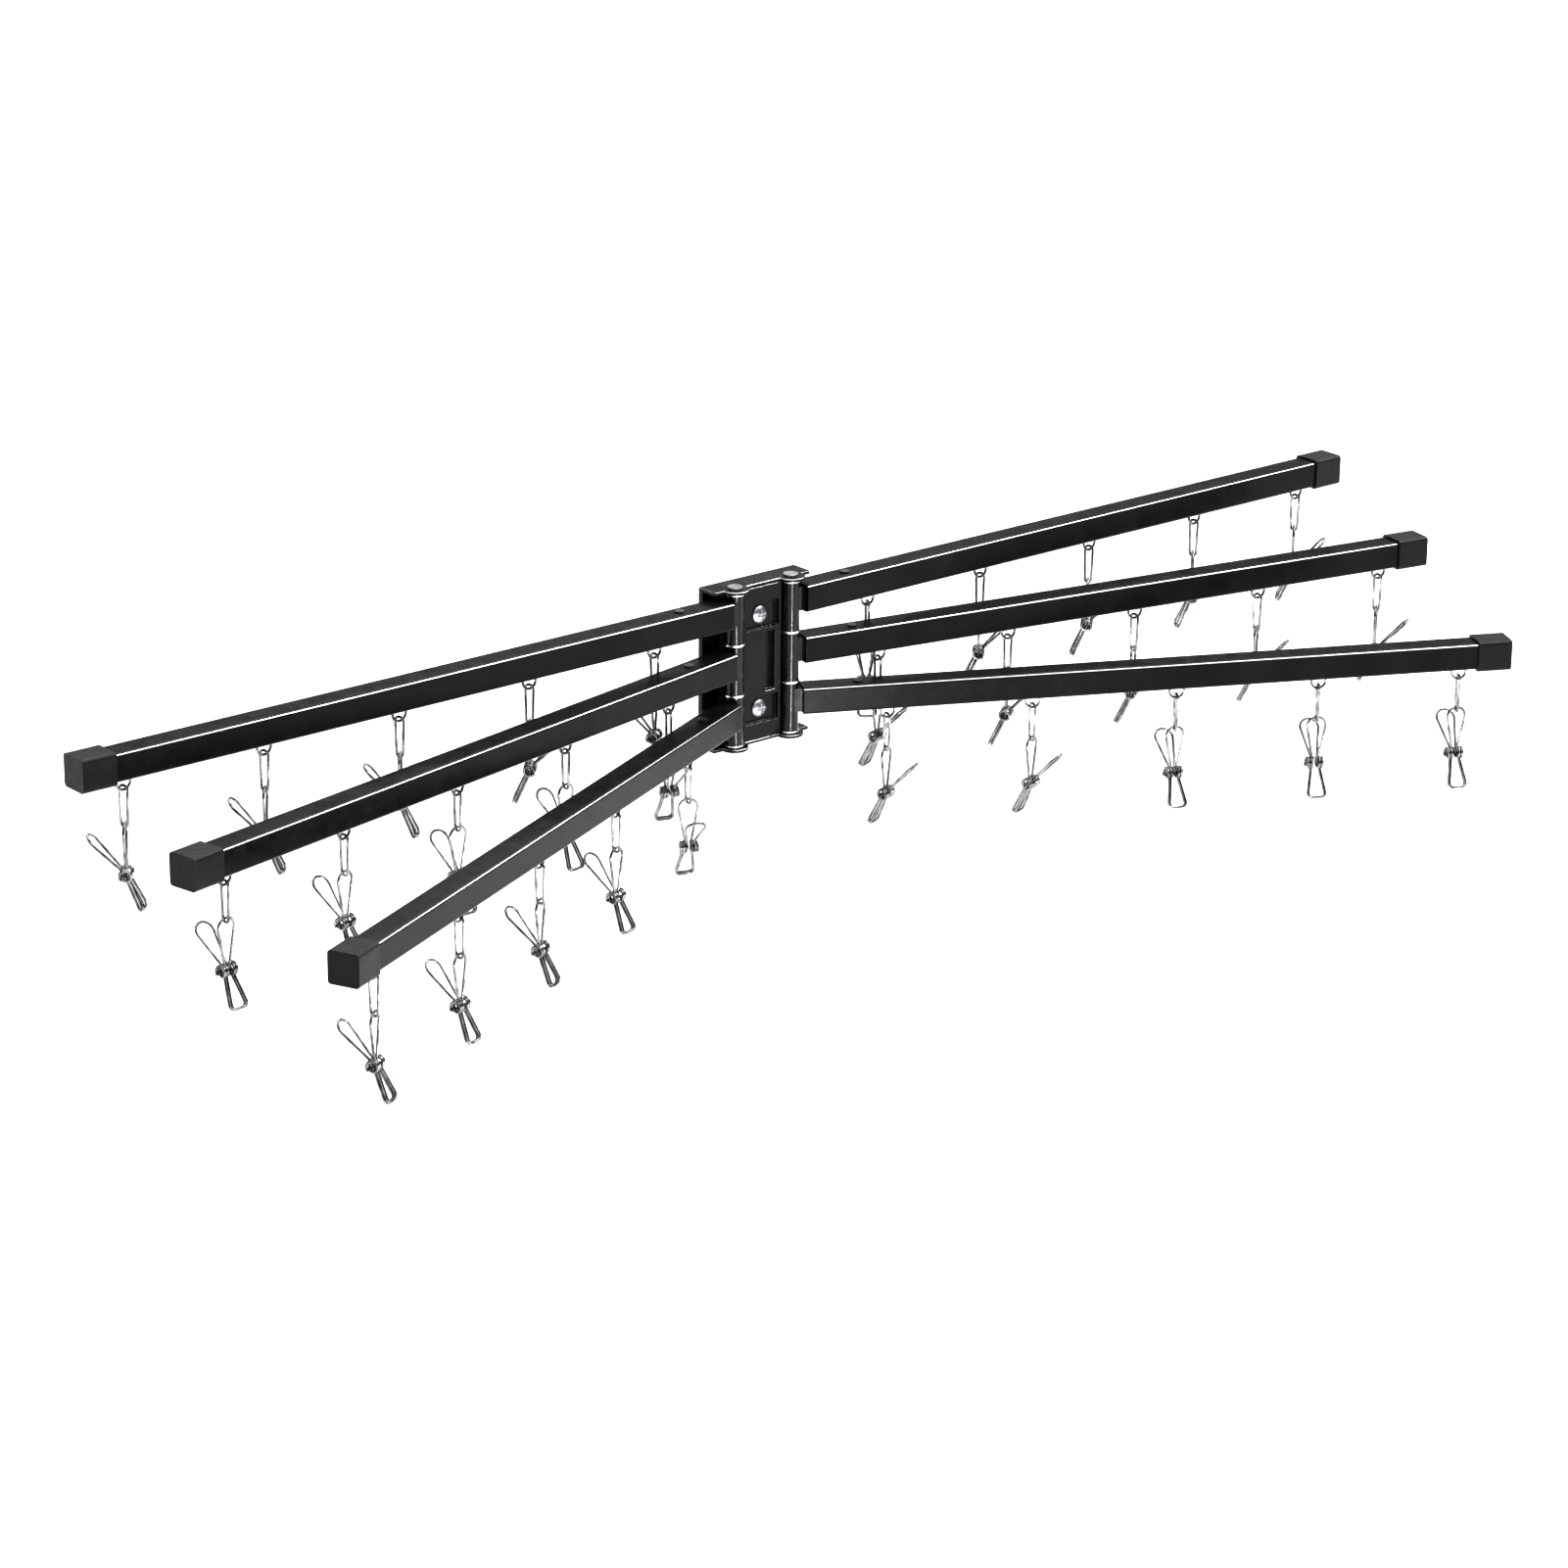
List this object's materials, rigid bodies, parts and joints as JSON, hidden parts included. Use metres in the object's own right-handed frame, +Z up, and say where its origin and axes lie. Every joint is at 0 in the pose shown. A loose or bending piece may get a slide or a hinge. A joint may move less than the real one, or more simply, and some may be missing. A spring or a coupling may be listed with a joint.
{
  "type": "swing-arm clothes airer",
  "caption": "Wall-mounted airer with hinged square-tube arms fanning out from a two-post bracket, each hung with wire pegs on links.",
  "frame": {"origin": "middle of the wall plate's back face, on the wall", "axes": "+X along the wall to the right as seen from the room, -Y out into the room, +Z up"},
  "size_m": [1.1514, 0.3096, 0.1985],
  "materials": {
    "bracket": "satin black powder coat",
    "arm_tube": "satin black powder coat",
    "hinge_block": "satin black",
    "end_cap": "moulded black plastic",
    "wire": "drawn stainless wire",
    "washer": "bright steel",
    "screw_steel": "polished stainless steel",
    "fastener": "dull steel"
  },
  "bodies": {
    "bracket": {"wall_bracket": "bracket", "middle_block": "bracket", "wall_screws": "screw_steel", "hinge_pins": "screw_steel", "pin_retainers": "fastener", "spacer_washers": "washer"},
    "left_upper_arm": {"left_upper_tube": "arm_tube", "left_upper_end_cap": "end_cap", "left_upper_hinge_block": "hinge_block", "left_upper_rivet": "fastener", "left_upper_eyes": "wire", "left_upper_inner_peg": "wire"},
    "left_upper_pegs_hanging": {"left_upper_links": "wire", "left_upper_pegs": "wire"},
    "left_middle_arm": {"left_middle_tube": "arm_tube", "left_middle_end_cap": "end_cap", "left_middle_hinge_block": "hinge_block", "left_middle_rivet": "fastener", "left_middle_eyes": "wire", "left_middle_inner_peg": "wire"},
    "left_middle_pegs_hanging": {"left_middle_links": "wire", "left_middle_pegs": "wire"},
    "left_lower_arm": {"left_lower_tube": "arm_tube", "left_lower_end_cap": "end_cap", "left_lower_hinge_block": "hinge_block", "left_lower_rivet": "fastener", "left_lower_eyes": "wire", "left_lower_inner_peg": "wire"},
    "left_lower_pegs_hanging": {"left_lower_links": "wire", "left_lower_pegs": "wire"},
    "right_upper_arm": {"right_upper_tube": "arm_tube", "right_upper_end_cap": "end_cap", "right_upper_hinge_block": "hinge_block", "right_upper_rivet": "fastener", "right_upper_eyes": "wire", "right_upper_inner_peg": "wire"},
    "right_upper_pegs_hanging": {"right_upper_links": "wire", "right_upper_pegs": "wire"},
    "right_middle_arm": {"right_middle_tube": "arm_tube", "right_middle_end_cap": "end_cap", "right_middle_hinge_block": "hinge_block", "right_middle_rivet": "fastener", "right_middle_eyes": "wire", "right_middle_inner_peg": "wire"},
    "right_middle_pegs_hanging": {"right_middle_links": "wire", "right_middle_pegs": "wire"},
    "right_lower_arm": {"right_lower_tube": "arm_tube", "right_lower_end_cap": "end_cap", "right_lower_hinge_block": "hinge_block", "right_lower_rivet": "fastener", "right_lower_eyes": "wire", "right_lower_inner_peg": "wire"},
    "right_lower_pegs_hanging": {"right_lower_links": "wire", "right_lower_pegs": "wire"}
  },
  "joints": [
    {"name": "left_upper_arm_swing", "type": "hinge", "parent": "bracket", "child": "left_upper_arm", "pos_m": [-0.0257, -0.019, 0.043], "axis": [0, 0, 1], "range_deg": [0, 66], "deforming": ["left_upper_links", "left_upper_pegs", "left_upper_inner_peg"]},
    {"name": "left_upper_pegs_sway", "type": "hinge", "parent": "left_upper_arm", "child": "left_upper_pegs_hanging", "pos_m": [-0.0257, -0.019, 0.02375], "axis": [-1, 0, 0], "range_deg": [-3, 10]},
    {"name": "left_middle_arm_swing", "type": "hinge", "parent": "bracket", "child": "left_middle_arm", "pos_m": [-0.0257, -0.019, 0.005], "axis": [0, 0, 1], "range_deg": [0, 66.6], "deforming": ["left_middle_links", "left_middle_pegs", "left_middle_inner_peg"]},
    {"name": "left_middle_pegs_sway", "type": "hinge", "parent": "left_middle_arm", "child": "left_middle_pegs_hanging", "pos_m": [-0.0257, -0.019, -0.01425], "axis": [-0.9803, -0.1977, 0], "range_deg": [-10, 10]},
    {"name": "left_lower_arm_swing", "type": "hinge", "parent": "bracket", "child": "left_lower_arm", "pos_m": [-0.0257, -0.019, -0.033], "axis": [0, 0, 1], "range_deg": [0, 65.4], "deforming": ["left_lower_links", "left_lower_pegs", "left_lower_inner_peg"]},
    {"name": "left_lower_pegs_sway", "type": "hinge", "parent": "left_lower_arm", "child": "left_lower_pegs_hanging", "pos_m": [-0.0257, -0.019, -0.05225], "axis": [-0.9092, -0.4163, 0], "range_deg": [-10, 25]},
    {"name": "right_upper_arm_swing", "type": "hinge", "parent": "bracket", "child": "right_upper_arm", "pos_m": [0.0257, -0.019, 0.043], "axis": [0, 0, -1], "range_deg": [0, 66], "deforming": ["right_upper_links", "right_upper_pegs", "right_upper_inner_peg"]},
    {"name": "right_upper_pegs_sway", "type": "hinge", "parent": "right_upper_arm", "child": "right_upper_pegs_hanging", "pos_m": [0.0257, -0.019, 0.02375], "axis": [-1, 0, 0], "range_deg": [-3, 10]},
    {"name": "right_middle_arm_swing", "type": "hinge", "parent": "bracket", "child": "right_middle_arm", "pos_m": [0.0257, -0.019, 0.005], "axis": [0, 0, -1], "range_deg": [0, 66.6], "deforming": ["right_middle_links", "right_middle_pegs", "right_middle_inner_peg"]},
    {"name": "right_middle_pegs_sway", "type": "hinge", "parent": "right_middle_arm", "child": "right_middle_pegs_hanging", "pos_m": [0.0257, -0.019, -0.01425], "axis": [-0.9803, 0.1977, 0], "range_deg": [-10, 10]},
    {"name": "right_lower_arm_swing", "type": "hinge", "parent": "bracket", "child": "right_lower_arm", "pos_m": [0.0257, -0.019, -0.033], "axis": [0, 0, -1], "range_deg": [0, 65.4], "deforming": ["right_lower_links", "right_lower_pegs", "right_lower_inner_peg"]},
    {"name": "right_lower_pegs_sway", "type": "hinge", "parent": "right_lower_arm", "child": "right_lower_pegs_hanging", "pos_m": [0.0257, -0.019, -0.05225], "axis": [-0.8942, 0.4478, 0], "range_deg": [-10, 25]}
  ]
}
